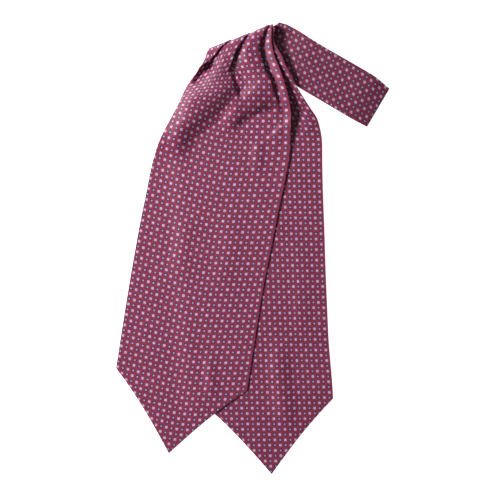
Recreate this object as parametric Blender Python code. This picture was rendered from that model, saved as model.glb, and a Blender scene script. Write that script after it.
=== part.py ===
"""A silk cravat, laid out flat the way it is shown for sale.

The cravat is one long strip of silk, used double, with a pointed blade at each
end. Between the blades the strip is folded lengthwise in three, which makes the
neckband. Here the cravat is folded in half at the middle of the neckband (the
rounded end fold on the right), and the doubled neckband is folded over along
the sloping ridge at the top, so that both blades hang down over it. At the
ridge the full width of each blade is gathered into knife pleats, which open
out into the smooth blade lower down.

Plan sizes are in millimetres: x to the right, y towards the ridge, z up from
the table.
"""
import math

import bpy
import numpy as np

MM = 0.001

# The silk
WALL = 1.0            # the silk, used double
GAP = 0.3             # clearance between pieces
PITCH = 1.4           # one layer of a fold to the next
STACK = WALL + 2 * PITCH          # a knife pleat, or the silk folded in three
ROUND = 2.0 - math.sqrt(2.0)      # guide points of a round turn, in its radii
MARGIN_PITCH = 1.5    # the left hem of the front blade over its own silk
CLIMB_LEAD = 2.0      # a run has climbed this far before the fold beneath it

# The ridge, where the doubled neckband is folded over
RIDGE_ANGLE = math.radians(23.0)
RIDGE_LEFT = np.array([-46.7, 214.6])
ALONG_RIDGE = np.array([math.cos(RIDGE_ANGLE), math.sin(RIDGE_ANGLE)])
INTO_RIDGE = np.array([math.sin(RIDGE_ANGLE), -math.cos(RIDGE_ANGLE)])
INNER_RADIUS = 0.7                              # back blade, its innermost layer
OUTER_RADIUS = INNER_RADIUS + STACK + GAP       # front blade, round the back one
AXIS_HEIGHT = OUTER_RADIUS + STACK - 0.5 * WALL
RIDGE_REACH = AXIS_HEIGHT                       # from the outline in to the axis
UNDER_SLIDE = 0.3     # how far the end beneath slides back per mm of depth

# The neckband, and the seams under the ridge where the blades join it
BAND_WIDTH = 51.7
BAND_ANGLE = math.radians(30.5)
ALONG_BAND = np.array([math.cos(BAND_ANGLE), -math.sin(BAND_ANGLE)])
ACROSS_BAND = np.array([math.sin(BAND_ANGLE), math.cos(BAND_ANGLE)])
BAND_END = np.array([135.95, 151.63])     # middle of the end fold's outline
BAND_MEETS_RIDGE = RIDGE_LEFT + 79.6 * ALONG_RIDGE + 2.4 * INTO_RIDGE
SEAM_DEPTH = RIDGE_REACH + GAP
SEAM_ENDS = (71.9, -4.4)                  # along the ridge from its left end
HALF_STACK = STACK + 0.5 * GAP            # one run of the doubled strap
GROOVE = 1.5                              # depth of the grooves between layers

# How the blades come down from the neckband to the table
EDGE_POINT = np.array([-46.7, 214.6])
EDGE_NORMAL = np.array([-0.3786, -0.9255])
BAND_FALL = 35.0
RIDGE_FALL = 30.0
LIFT = AXIS_HEIGHT + INNER_RADIUS - 0.5 * WALL
DRAPE_ROOM = 0.2
RIPPLE = 0.1          # the slight unevenness of silk lying on silk
RIPPLE_LENGTHS = (7.0, 9.0)
PLAN_CENTRE = (-0.395, 0.275, 0.0)

# Sections across the front blade. down: distance below the ridge along the
# blade's axis; slant: degrees the section rises to the right; left and right:
# outline on each side of the axis; margin: width of the left hem folded over;
# edge, back, rise, open: each knife pleat's edge, how far it is folded back,
# its height above the layer below, and how far it has opened (0 to 1).
FRONT_COLUMNS = ("down", "slant", "left", "margin",
                 "edge1", "back1", "rise1", "open1",
                 "edge2", "back2", "rise2", "open2", "right")
FRONT_SECTIONS = (
    (0, 23.0, -33.6, 24.5, 13.0, 11.9, 2.8, 0.0, 35.9, 11.9, 2.8, 0.0, 39.8),
    (4, 23.0, -35.4, 20.4, 9.4, 12.2, 2.8, 0.0, 33.8, 12.5, 2.8, 0.0, 39.9),
    (9, 23.0, -37.6, 13.3, 4.8, 13.0, 2.8, 0.0, 31.3, 13.0, 2.9, 0.0, 40.5),
    (14, 22.5, -39.5, 8.3, 1.2, 13.0, 2.9, 0.0, 29.3, 13.5, 3.6, 0.0, 41.0),
    (20, 22.0, -43.3, 2.5, -1.2, 12.0, 3.2, 0.0, 28.5, 14.0, 4.3, 0.0, 41.9),
    (28, 20.5, -48.3, 0.0, -2.3, 8.5, 3.4, 0.0, 29.8, 14.0, 4.7, 0.0, 44.0),
    (36, 18.5, -51.7, 0.0, -2.4, 3.2, 4.4, 0.25, 33.3, 13.0, 4.8, 0.0, 47.1),
    (46, 15.5, -53.2, 0.0, 1.8, 3.0, 3.0, 0.75, 37.5, 10.0, 4.8, 0.0, 52.5),
    (58, 11.5, -54.6, 0.0, 5.0, 4.0, 2.0, 1.0, 46.0, 3.0, 4.6, 0.15, 59.0),
    (72, 7.0, -56.5, 0.0, 7.2, 4.0, 1.2, 1.0, 53.0, 4.0, 3.6, 0.7, 65.8),
    (88, 3.0, -60.1, 0.0, 9.3, 4.0, 0.6, 1.0, 57.6, 4.0, 2.4, 1.0, 71.7),
    (106, 0.0, -64.8, 0.0, 11.0, 4.0, 0.2, 1.0, 60.0, 4.0, 1.1, 1.0, 74.1),
    (126, -2.5, -68.8, 0.0, 12.0, 4.0, 0.0, 1.0, 60.5, 4.0, 0.3, 1.0, 76.7),
    (150, -4.5, -70.3, 0.0, 12.0, 5.0, 0.0, 1.0, 60.5, 5.0, 0.0, 1.0, 76.2),
    (180, -6.5, -70.9, 0.0, 12.0, 5.0, 0.0, 1.0, 60.5, 5.0, 0.0, 1.0, 74.6),
    (220, -8.0, -71.9, 0.0, 12.0, 5.0, 0.0, 1.0, 60.5, 5.0, 0.0, 1.0, 73.4),
    (270, -9.0, -72.2, 0.0, 12.0, 5.0, 0.0, 1.0, 60.5, 5.0, 0.0, 1.0, 72.1),
    (330, -9.7, -71.7, 0.0, 12.0, 5.0, 0.0, 1.0, 60.5, 5.0, 0.0, 1.0, 72.9),
    (376, -9.7, -71.0, 0.0, 12.0, 5.0, 0.0, 1.0, 60.5, 5.0, 0.0, 1.0, 73.5),
    (460, -9.7, -71.0, 0.0, 12.0, 5.0, 0.0, 1.0, 60.5, 5.0, 0.0, 1.0, 73.5),
)

# Sections across the back blade, the same way; its left hem is not turned.
BACK_COLUMNS = ("down", "slant", "left",
                "edge1", "back1", "rise1", "open1",
                "edge2", "back2", "rise2", "open2", "right")
BACK_SECTIONS = (
    (0, 23.0, -41.0, -11.0, 14.0, 2.8, 0.0, 19.0, 18.0, 2.8, 0.0, 27.3),
    (9, 23.0, -41.5, -11.5, 14.0, 2.8, 0.0, 17.0, 17.5, 2.8, 0.0, 24.4),
    (14, 22.5, -42.0, -12.5, 13.5, 2.8, 0.0, 14.5, 16.5, 2.8, 0.0, 21.8),
    (20, 22.0, -43.3, -13.0, 13.0, 2.8, 0.0, 14.0, 16.0, 2.8, 0.0, 22.1),
    (28, 20.5, -45.3, -13.0, 12.0, 2.8, 0.0, 15.0, 15.0, 2.8, 0.0, 24.5),
    (36, 19.0, -47.8, -12.0, 11.0, 2.8, 0.0, 18.0, 14.0, 2.8, 0.0, 28.5),
    (46, 17.0, -50.8, -11.0, 9.0, 2.9, 0.0, 21.0, 9.4, 2.9, 0.0, 32.2),
    (58, 14.5, -54.3, -10.0, 2.8, 3.7, 0.05, 27.0, 2.8, 3.7, 0.05, 39.6),
    (72, 12.0, -58.3, -9.0, 3.0, 2.6, 0.8, 33.0, 3.0, 2.6, 0.8, 47.6),
    (88, 9.5, -62.8, -8.0, 3.0, 1.6, 1.0, 38.0, 3.0, 1.6, 1.0, 57.3),
    (106, 7.5, -67.3, -7.0, 4.0, 0.5, 1.0, 42.0, 4.0, 0.5, 1.0, 68.0),
    (126, 6.0, -69.8, -6.0, 5.0, 0.0, 1.0, 43.0, 5.0, 0.0, 1.0, 71.0),
    (150, 5.0, -70.3, -6.0, 5.0, 0.0, 1.0, 43.0, 5.0, 0.0, 1.0, 70.2),
    (180, 4.0, -70.3, -6.0, 5.0, 0.0, 1.0, 43.0, 5.0, 0.0, 1.0, 69.5),
    (220, 3.3, -70.3, -6.0, 5.0, 0.0, 1.0, 43.0, 5.0, 0.0, 1.0, 69.2),
    (270, 2.8, -70.3, -6.0, 5.0, 0.0, 1.0, 43.0, 5.0, 0.0, 1.0, 68.6),
    (330, 2.5, -70.3, -6.0, 5.0, 0.0, 1.0, 43.0, 5.0, 0.0, 1.0, 68.5),
    (398, 2.5, -70.3, -6.0, 5.0, 0.0, 1.0, 43.0, 5.0, 0.0, 1.0, 70.6),
    (490, 2.5, -70.3, -6.0, 5.0, 0.0, 1.0, 43.0, 5.0, 0.0, 1.0, 70.6),
)

FRONT = {
    "columns": FRONT_COLUMNS,
    "sections": FRONT_SECTIONS,
    "top": np.array([-15.7, 227.7]),
    "lean": math.radians(9.7),
    "radius": OUTER_RADIUS,
    "reach": RIDGE_REACH,
    "fullness": ((-34.0, -14.0, -4.0, 28.0, 36.5, 39.5), (1.7, 1.0, 0.2, 0.3, 0.9, 1.6)),
    "corner": 375.5,
    "point": 82.0,
    "sag": 2.6,
}
BACK = {
    "columns": BACK_COLUMNS,
    "sections": BACK_SECTIONS,
    "top": np.array([-1.1, 233.9]),
    "lean": math.radians(-2.52),
    "radius": INNER_RADIUS,
    "reach": 0.0,
    "fullness": ((0.0, 1.0), (0.0, 0.0)),
    "corner": 398.0,
    "point": 82.0,
    "sag": 2.4,
}

# Rows down each blade: angles round the ridge, then distances down the axis
WRAP_ANGLES = (180, 150, 120, 90, 67, 45, 22)
FRONT_ROWS = (0.0, 3.5, 7.0, 11, 15.5, 20.5, 26.5, 31.5, 36.5, 42, 48.5, 55, 62.5,
              70, 78, 87, 98, 110, 122)
BACK_ROWS = (0.0, 5.0, 11, 18, 24.5, 31, 37, 43, 49.5, 56, 63.5, 71, 80, 92, 106, 120)
FRONT_POINT_ROWS = 11
BACK_POINT_ROWS = 8

# Soft folds of the front blade: height, half width and the line each follows
SOFT_FOLDS = (
    (2.0, 9.0, ((-22, 180), (-42, 164), (-64, 152), (-84, 134), (-92, 112))),
    (1.3, 8.0, ((-22, 150), (-27, 128), (-24, 108))),
    (1.6, 8.0, ((31, 158), (32, 130), (30, 106), (26, 80))),
)


def smooth(x):
    """Rises softly from 0 to 1 while x goes from 0 to 1."""
    x = np.clip(x, 0.0, 1.0)
    return x * x * (3.0 - 2.0 * x)


def fall(x):
    """Falls softly from 1 to 0 while x goes from 0 to 1."""
    return 0.5 + 0.5 * np.cos(math.pi * np.clip(x, 0.0, 1.0))


def read_section(blade, down):
    """The row of the blade's table at this distance down, between two rows."""
    table = np.array(blade["sections"], dtype=float)
    at = table[:, 0]
    i = int(np.clip(np.searchsorted(at, down) - 1, 0, len(at) - 2))
    span = at[i + 1] - at[i]
    t = min(max((down - at[i]) / span, 0.0), 1.0)
    slopes = np.diff(table, axis=0) / np.diff(at)[:, None]

    def tangent(k):
        if k == 0 or k == len(at) - 1:
            return slopes[min(k, len(slopes) - 1)]
        before, after = slopes[k - 1], slopes[k]
        same = before * after > 0.0
        total = np.where(same, before + after, 1.0)
        return np.where(same, 2.0 * before * after / total, 0.0)

    h00 = 2 * t ** 3 - 3 * t ** 2 + 1
    h10 = t ** 3 - 2 * t ** 2 + t
    row = (h00 * table[i] + h10 * span * tangent(i)
           + (1 - h00) * table[i + 1] + (t ** 3 - t ** 2) * span * tangent(i + 1))
    return dict(zip(blade["columns"], row))


def turn_guides(tip, height, width, side):
    """Four guides of a round turn, from its upper layer to its lower one."""
    r = 0.5 * width
    near, far = tip - side * ROUND * r, tip
    return [(near, height), (far, height - ROUND * r),
            (far, height - (2.0 - ROUND) * r), (near, height - width)]


def pleat_points(edge, back, rise, opened, reach):
    """Twelve guide points of a knife pleat, from its edge round to its root."""
    step = min(PITCH / max(1.0 - opened, 0.3), 0.5 * rise)
    root = edge - back
    folded = np.array(
        [(edge - 1.2 * step, rise)] + turn_guides(edge, rise, step, 1)
        + [(edge - min(1.2 * step, 0.4 * back), rise - step),
           (root + min(1.2 * step, 0.4 * back), step)]
        + turn_guides(root, step, step, -1) + [(root + 1.2 * step, 0.0)])
    spread = np.linspace(-reach, reach, 12)
    bump = 0.5 - 0.5 * np.cos(math.pi * np.clip(1.0 - (spread / reach - 0.1) / 0.9, 0.0, 1.0))
    bump = np.where(spread < 0.1 * reach, 1.0 - 0.25 * (spread / reach) ** 2, bump)
    flat = np.column_stack([edge + spread, rise * bump])
    return (1.0 - opened) * folded + opened * flat


def climb_guides(start, climb_from, climb_to, pleat_start):
    """Guides of a run that climbs over the fold beneath it, up to its own edge."""
    p_end, height = pleat_start
    before = max(climb_from - 1.5, 0.5 * (start + climb_from))
    beyond = 0.5 * (climb_to + min(climb_to + 4.0, p_end))
    return [(before, 0.0), (climb_from, 0.0), (climb_to, height), (beyond, height)]


def margin_guides(left, margin, climb_from, climb_to, rise):
    """Seven guides of the left hem, from its edge to where it turns under."""
    angle = math.pi * float(smooth(margin / 6.0))
    length = max(margin, 2.6)
    r = 0.5 * MARGIN_PITCH
    middle = min(max(climb_from - left, PITCH + 0.5), length - 0.5)
    place = np.array([0.0, 0.0])
    points = [place]
    side = 2.0 * r * math.tan(math.pi / 8.0)
    for k in (1, 2, 3):
        turned = angle * k / 4.0
        place = place + side * np.array([-math.cos(turned), math.sin(turned)])
        points.append(place)
    back = np.array([-math.cos(angle), math.sin(angle)])
    points += [place + share * back for share in (1.2 * r, middle, length)]
    points = np.array(points[::-1])
    points[:, 0] += left - points[:, 0].min()
    if angle > 0.9 * math.pi:
        points[:, 1] += np.interp(points[:, 0], (climb_from, climb_to), (0.0, rise))
    return [tuple(point) for point in points]


def section_guides(blade, down):
    """Guide points across a blade: distance from its axis, and height."""
    row = read_section(blade, down)
    left, right = row["left"], row["right"]
    pleat1 = pleat_points(row["edge1"], row["back1"], row["rise1"], row["open1"], 9.0)
    pleat2 = pleat_points(row["edge2"], row["back2"], row["rise2"], row["open2"], 7.0)
    margin = row.get("margin", 0.0)
    climb_to = pleat1[:, 0].min() - CLIMB_LEAD
    climb_from = min(left + max(margin - 5.0, 7.0), climb_to - 4.0)
    guides = []
    start = left
    if "margin" in row:
        guides = margin_guides(left, margin, climb_from, climb_to, pleat1[0, 1])
        start = guides[-1][0] + PITCH
    guides += climb_guides(start, climb_from, climb_to, pleat1[0])
    guides.extend(map(tuple, pleat1))
    climb_to = pleat2[:, 0].min() - CLIMB_LEAD
    climb_from = min(max(pleat1[:, 0].max() + 1.8, pleat1[-1, 0] + 2.0), climb_to - 2.0)
    guides += climb_guides(pleat1[-1, 0], climb_from, climb_to, pleat2[0])
    guides.extend(map(tuple, pleat2))
    steps = 3 + len(guides) % 2 if (len(guides) + 3) % 2 else 3
    for p in np.linspace(pleat2[-1, 0], right, steps + 1)[1:]:
        guides.append((p, 0.0))
    return np.array(guides)


def smooth_path(guides, steps=8):
    """A smooth curve through the middles of the lines between guide points."""
    middles = 0.5 * (guides[:-1] + guides[1:])
    middles[0] = guides[0]
    middles[-1] = guides[-1]
    path = [guides[0]]
    for i in range(1, len(guides) - 1):
        for k in range(1, steps + 1):
            t = k / steps
            path.append((1 - t) ** 2 * middles[i - 1] + 2 * t * (1 - t) * guides[i]
                        + t * t * middles[i])
    return np.array(path)


def section_points(blade, down, evenness):
    """One row of points across the blade: distance from the axis, and height."""
    steps = 8
    path = smooth_path(section_guides(blade, down), steps)
    length = np.concatenate([[0.0], np.cumsum(np.hypot(*np.diff(path, axis=0).T))])
    picked = length[::steps]
    even = np.linspace(0.0, length[-1], len(picked))
    at = (1 - evenness) * picked + evenness * even
    return np.column_stack([np.interp(at, length, path[:, 0]),
                            np.interp(at, length, path[:, 1])])


def ridge_depth(x, y):
    """Distance of a plan point below the ridge's outline."""
    return (x - RIDGE_LEFT[0]) * INTO_RIDGE[0] + (y - RIDGE_LEFT[1]) * INTO_RIDGE[1]


def support(x, y):
    """1 on the neckband and the ridge, 0 where a blade has come down."""
    below_band = (x - EDGE_POINT[0]) * EDGE_NORMAL[0] + (y - EDGE_POINT[1]) * EDGE_NORMAL[1]
    on_band = fall((below_band + 1.0) / BAND_FALL)
    on_ridge = fall((ridge_depth(x, y) - RIDGE_REACH) / RIDGE_FALL)
    return 1.0 - (1.0 - on_band) * (1.0 - on_ridge)


def over_back_blade(x, y):
    """Height of the back blade's layers under a point, 0 outside its outline."""
    down_axis = np.array([math.sin(-BACK["lean"]), -math.cos(BACK["lean"])])
    right_axis = np.array([-down_axis[1], down_axis[0]])
    dx, dy = x - BACK["top"][0], y - BACK["top"][1]
    down = dx * down_axis[0] + dy * down_axis[1]
    aside = dx * right_axis[0] + dy * right_axis[1]
    tilt = math.tan(math.radians(read_section(BACK, down)["slant"] - 2.5))
    row = read_section(BACK, down + tilt * aside)
    left = row["left"]
    inside_left = smooth((aside - left + 32.0) / 20.0)
    hem = BACK["corner"] + BACK["point"] * (1.0 - abs(aside) / 70.0)
    inside_point = smooth((hem - down + 44.0) / 26.0)
    pleats = max(row["rise1"], row["rise2"])
    return inside_left * inside_point * (WALL + GAP + DRAPE_ROOM + pleats)


def soft_fold(x, y):
    """Height that the soft folds below the pleats add to the front blade."""
    height = 0.0
    for rise, reach, line in SOFT_FOLDS:
        best = 1.0e9
        for i in range(len(line) - 1):
            a, b = np.array(line[i], float), np.array(line[i + 1], float)
            t = ((x - a[0]) * (b - a)[0] + (y - a[1]) * (b - a)[1]) / ((b - a) @ (b - a))
            near = a + min(max(t, 0.0), 1.0) * (b - a)
            best = min(best, math.hypot(x - near[0], y - near[1]))
        height = max(height, rise * fall(best / reach))
    return height


def laid_height(blade, x, y):
    """Height of the middle of the silk where the blade lies on what is under it."""
    height = 0.5 * WALL + LIFT * support(x, y)
    if blade is FRONT:
        depth = ridge_depth(x, y)
        at_ridge = fall((depth - RIDGE_REACH) / 25.0)
        on_back = over_back_blade(x, y)
        height += at_ridge * (STACK + GAP) + (1.0 - at_ridge) * on_back
        height += soft_fold(x, y)
        lying_on_silk = min(on_back / (WALL + GAP), 1.0)
        across, along = RIPPLE_LENGTHS
        height += RIPPLE * lying_on_silk * math.sin(x / across) * math.sin(y / along)
    return height


def axis_directions(blade):
    """Directions down the blade's axis, and its slide along the ridge per mm."""
    down = np.array([-math.sin(blade["lean"]), -math.cos(blade["lean"])])
    return down, (down @ ALONG_RIDGE) / (down @ INTO_RIDGE)


def laid_point(blade, down, p, h):
    """A point of a blade lying on the neckband or the table."""
    direction, _ = axis_directions(blade)
    slant = math.radians(read_section(blade, down)["slant"])
    plan = blade["top"] + direction * down + p * np.array([math.cos(slant), math.sin(slant)])
    return (*plan, laid_height(blade, *plan) + h)


def wrap_point(blade, angle, p, h):
    """A point of a blade bent round the ridge: 0 on top, 180 degrees beneath."""
    a = math.radians(angle)
    _, slide = axis_directions(blade)
    outline = RIDGE_REACH - blade["reach"]
    depth = RIDGE_REACH - blade["reach"] * math.sin(a)
    aside = slide * depth
    if angle > 90:
        aside = slide * outline - UNDER_SLIDE * (depth - outline)
    radius = blade["radius"] + h
    fullness = np.interp(p, *blade["fullness"])
    plan = (blade["top"] + (p + aside) * ALONG_RIDGE
            + (RIDGE_REACH - (radius + fullness) * math.sin(a)) * INTO_RIDGE)
    return (*plan, AXIS_HEIGHT + radius * math.cos(a))


def blade_rows(blade, rows, point_rows):
    """Rows of points along a blade, from its seam to its pointed hem."""
    direction, _ = axis_directions(blade)
    meets = RIDGE_REACH / (direction @ INTO_RIDGE)
    outline = meets * (1.0 - blade["reach"] / RIDGE_REACH)
    grid = []
    for angle in WRAP_ANGLES:
        down = outline
        if angle < 90:
            down = meets - (meets - outline) * math.sin(math.radians(angle))
        points = section_points(blade, down, 0.0)
        grid.append([wrap_point(blade, angle, p, h) for p, h in points])
    for further in rows:
        down = meets + further
        evenness = float(smooth((down - 58.0) / 66.0))
        points = section_points(blade, down, evenness)
        grid.append([laid_point(blade, down, p, h) for p, h in points])
    last = meets + rows[-1]
    count = len(grid[0])
    for k in range(1, point_rows + 1):
        share = k / point_rows
        spread = share ** 1.5
        row = []
        for c in range(count):
            u = c / (count - 1)
            chevron = 1.0 - abs(2.0 * u - 1.0)
            sag = blade["sag"] * math.sin(math.pi * chevron) * smooth(chevron * 8.0)
            level = last + share * (blade["corner"] - last)
            down = level + spread * (blade["point"] * chevron - 1.3 * sag)
            at = read_section(blade, down)
            p = at["left"] + u * (at["right"] - at["left"])
            row.append(laid_point(blade, down, p, 0.0))
        grid.append(row)
    return np.array(grid)


def add_material(obj, name, colour, roughness, sheen):
    """A silk material with its own base colour."""
    material = bpy.data.materials.new(name)
    material.use_nodes = True
    surface = material.node_tree.nodes["Principled BSDF"]
    surface.inputs["Base Color"].default_value = (*colour, 1.0)
    surface.inputs["Roughness"].default_value = roughness
    surface.inputs["Metallic"].default_value = 0.0
    surface.inputs["Sheen Weight"].default_value = sheen
    material.diffuse_color = (*colour, 1.0)
    obj.data.materials.append(material)


def add_mesh(name, points, faces):
    """A named object from points in millimetres and its faces."""
    mesh = bpy.data.meshes.new(name)
    mesh.from_pydata([tuple(MM * (c - o) for c, o in zip(p, PLAN_CENTRE)) for p in points],
                     [], faces)
    mesh.validate()
    mesh.shade_smooth()
    obj = bpy.data.objects.new(name, mesh)
    bpy.context.scene.collection.objects.link(obj)
    return obj


def add_blade(name, blade, rows, point_rows):
    """A blade: its middle surface as a grid, thickened by a Solidify modifier."""
    grid = blade_rows(blade, rows, point_rows)
    count = grid.shape[1]
    faces = []
    for r in range(grid.shape[0] - 1):
        for c in range(count - 1):
            a = r * count + c
            faces.append((a, a + count, a + count + 1, a + 1))
    obj = add_mesh(name, grid.reshape(-1, 3), faces)
    shell = obj.modifiers.new("Silk", 'SOLIDIFY')
    shell.thickness = WALL * MM
    shell.offset = 0.0
    return obj


# Stations along the neckband, from the end fold to the seam: distance from the
# end fold's outline, then the upper and lower edges on each side of its axis
BAND_STATIONS = (
    (4.0, 24.6, -23.8),
    (8.0, 25.6, -24.2),
    (15.0, 26.6, -24.5),
    (24.0, 27.4, -24.7),
    (40.0, 27.3, -24.6),
    (60.0, 27.1, -24.6),
    (80.0, 26.8, -24.4),
    (100.0, 27.1, -24.0),
    (118.0, 28.1, -23.9),
    (131.0, 27.8, -24.5),
)
# The two lengthwise steps in the neckband's upper face, from its upper edge
STEP_AT = (10.0, 30.0)
STEP_DROP = (0.3, 0.6)


def strap_profile(upper, lower, steps):
    """Section of the three-fold strap: distance across, and height from its fold."""
    inner = 0.5 * GAP
    outer = HALF_STACK
    layers = [(inner + k * PITCH, inner + k * PITCH + WALL) for k in range(3)]
    side = []
    for k, (low, high) in enumerate(layers):
        middle = 0.5 * (low + high)
        side += [(0.25, low + 0.12), (0.0, middle), (0.25, high - 0.12)]
        if k < 2:
            side.append((GROOVE, 0.5 * (high + layers[k + 1][0])))
    profile = [(upper - inset, h) for inset, h in side]
    for at, drop_before, drop_after in (
            (STEP_AT[0], 0.0, STEP_DROP[0]), (STEP_AT[1], STEP_DROP[0], STEP_DROP[1])):
        profile.append((upper - at, outer - drop_before * steps))
        profile.append((upper - at - 1.0, outer - drop_after * steps))
    top = outer - STEP_DROP[1] * steps
    base = layers[2][0]
    for inset, h in reversed(side):
        if h > base:
            h = base + (h - base) * (top - base) / WALL
        profile.append((lower + inset, h))
    profile += [(upper - STEP_AT[1], inner), (upper - STEP_AT[0], inner)]
    return profile


def band_stations():
    """Plan points of each section, from the end fold to the seam.

    Each has its upper edge, the first step in its face, and its lower edge. The
    last section bends there, from the side of the ridge to the seam under it.
    """
    stations = []
    for distance, upper, lower in BAND_STATIONS:
        middle = BAND_END - ALONG_BAND * distance
        stations.append((middle + ACROSS_BAND * upper,
                         middle + ACROSS_BAND * (upper - STEP_AT[0]),
                         middle + ACROSS_BAND * lower))
    seam = [RIDGE_LEFT + along * ALONG_RIDGE + SEAM_DEPTH * INTO_RIDGE for along in SEAM_ENDS]
    stations.append((BAND_MEETS_RIDGE, *seam))
    return stations


def strap_ring(upper, step, lower, steps, angle):
    """One section of the strap: angle 0 on the upper run, 180 on the lower one."""
    width = min(np.linalg.norm(upper - lower), BAND_WIDTH)
    a = math.radians(angle)
    places = (0.0, width - STEP_AT[0], width)
    ring = []
    for v, r in strap_profile(width, 0.0, steps):
        x = np.interp(v, places, (lower[0], step[0], upper[0]))
        y = np.interp(v, places, (lower[1], step[1], upper[1]))
        plan = np.array([x, y]) + ALONG_BAND * r * math.sin(a)
        ring.append((*plan, HALF_STACK + r * math.cos(a)))
    return ring


def band_rings():
    """Rings of the neckband: upper run, end fold, then the lower run back."""
    stations = band_stations()
    rings = []
    for i in reversed(range(len(stations))):
        shown = float(smooth(i / 4.0))
        rings.append(strap_ring(*stations[i], shown, 0.0))
    for turn in (30, 60, 90, 120, 150):
        rings.append(strap_ring(*stations[0], 0.0, turn))
    for station in stations:
        rings.append(strap_ring(*station, 0.0, 180.0))
    return np.array(rings)


def add_band(name):
    """The neckband: one doubled strap, closed at its two ends."""
    rings = band_rings()
    count = rings.shape[1]
    faces = []
    for r in range(rings.shape[0] - 1):
        for c in range(count):
            d = (c + 1) % count
            a, b = r * count, (r + 1) * count
            faces.append((a + c, a + d, b + d, b + c))
    last = (rings.shape[0] - 1) * count
    bend = (count - 6) // 2
    for end in (list(range(bend + 1)) + [count - 1], list(range(bend, count))):
        faces.append(tuple(reversed(end)))
        faces.append(tuple(last + c for c in end))
    return add_mesh(name, rings.reshape(-1, 3), faces)


for old in list(bpy.data.objects):
    bpy.data.objects.remove(old, do_unlink=True)

front = add_blade("front_blade", FRONT, FRONT_ROWS, FRONT_POINT_ROWS)
add_material(front, "front_blade_silk", (0.26, 0.07, 0.14), 0.45, 0.3)
back = add_blade("back_blade", BACK, BACK_ROWS, BACK_POINT_ROWS)
add_material(back, "back_blade_silk", (0.21, 0.06, 0.12), 0.45, 0.3)
band = add_band("neckband")
add_material(band, "neckband_silk", (0.19, 0.05, 0.11), 0.45, 0.3)
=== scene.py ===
# %% [markdown]
# # A silk cravat, laid out flat
#
# This lesson dresses the solids of a silk cravat: two pointed blades and the
# folded neckband between them. The cravat is one long strip of printed silk,
# sewn double, and it lies on a table with its neckband folded over at the top.
# Each piece is made again here as a finer sheet, in the place of its solid but
# with softer and springier folds, and then gets its print, weave and sheen.

# %% Load the frame
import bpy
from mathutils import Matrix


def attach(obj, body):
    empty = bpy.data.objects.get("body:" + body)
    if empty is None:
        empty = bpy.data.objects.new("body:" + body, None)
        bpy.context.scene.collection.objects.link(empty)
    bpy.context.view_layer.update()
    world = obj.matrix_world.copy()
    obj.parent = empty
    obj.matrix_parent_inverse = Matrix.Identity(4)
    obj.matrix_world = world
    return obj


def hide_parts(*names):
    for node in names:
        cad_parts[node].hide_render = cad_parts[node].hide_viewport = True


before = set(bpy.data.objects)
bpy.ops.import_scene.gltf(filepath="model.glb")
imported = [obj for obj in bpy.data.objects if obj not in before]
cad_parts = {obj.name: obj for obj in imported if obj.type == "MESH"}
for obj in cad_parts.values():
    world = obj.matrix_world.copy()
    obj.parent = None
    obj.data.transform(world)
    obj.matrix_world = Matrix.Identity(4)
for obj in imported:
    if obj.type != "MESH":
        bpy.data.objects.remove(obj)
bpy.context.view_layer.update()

import math

import bpy
import numpy as np

MM = 0.001

# %% [markdown]
# ## The sizes that the whole cravat shares
#
# Silk used double is about 1 mm through once it is pressed. Where it is folded
# into a knife pleat, three layers lie on each other, and each layer needs a
# little more than its own thickness. The ridge is the line along which the
# doubled neckband is folded over, and the blades bend round it: the back blade
# round the smaller radius and the front blade round the larger one.

# %% Shared sizes, in millimetres
WALL = 1.0
GAP = 0.3
PITCH = 1.4
STACK = WALL + 2 * PITCH
ROUND = 2.0 - math.sqrt(2.0)
MARGIN_PITCHES = ((0.0, 4.0, 12.0), (2.6, 2.6, 4.8))
CLIMB_LEAD = 2.0
RIDGE_ANGLE = math.radians(23.0)
RIDGE_LEFT = np.array([-46.7, 214.6])
ALONG_RIDGE = np.array([math.cos(RIDGE_ANGLE), math.sin(RIDGE_ANGLE)])
INTO_RIDGE = np.array([math.sin(RIDGE_ANGLE), -math.cos(RIDGE_ANGLE)])
INNER_RADIUS = 0.7
OUTER_RADIUS = INNER_RADIUS + STACK + GAP
AXIS_HEIGHT = OUTER_RADIUS + STACK - 0.5 * WALL
RIDGE_REACH = AXIS_HEIGHT
UNDER_SLIDE = 0.3
LIFT = AXIS_HEIGHT + INNER_RADIUS - 0.5 * WALL
DRAPE_ROOM = 0.2
PLAN_CENTRE = np.array([-0.395, 0.275, 0.0])
SILK_WIDTH = 145.0
PRINT_PITCH = 5.75
print("ridge axis at", round(AXIS_HEIGHT, 2), "mm, blades", SILK_WIDTH, "mm wide")

# %% [markdown]
# ## The sections of the blades
#
# A blade could be a flat shape pushed about by a cloth simulation, but a pleat
# that a maker presses by hand has a place and a depth, and a simulation would
# lose both. So each blade is a row of sections. Every row of these tables is one
# section: how far down it is, how it slants, where its two sides are, and for
# each pleat where its edge is, how far it is folded back, how high it stands and
# how far it has opened out. The front blade's margin is the part of its left hem
# that is turned under. Lower down all pleats have opened out and only the slant
# and the two sides still change, so those rows are short.

# %% Tables of sections


def opened_out(rows, between):
    """Whole rows from short ones of down, slant, left and right, with the pleats open."""
    return tuple((*row[:3], *between, row[3]) for row in rows)


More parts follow.
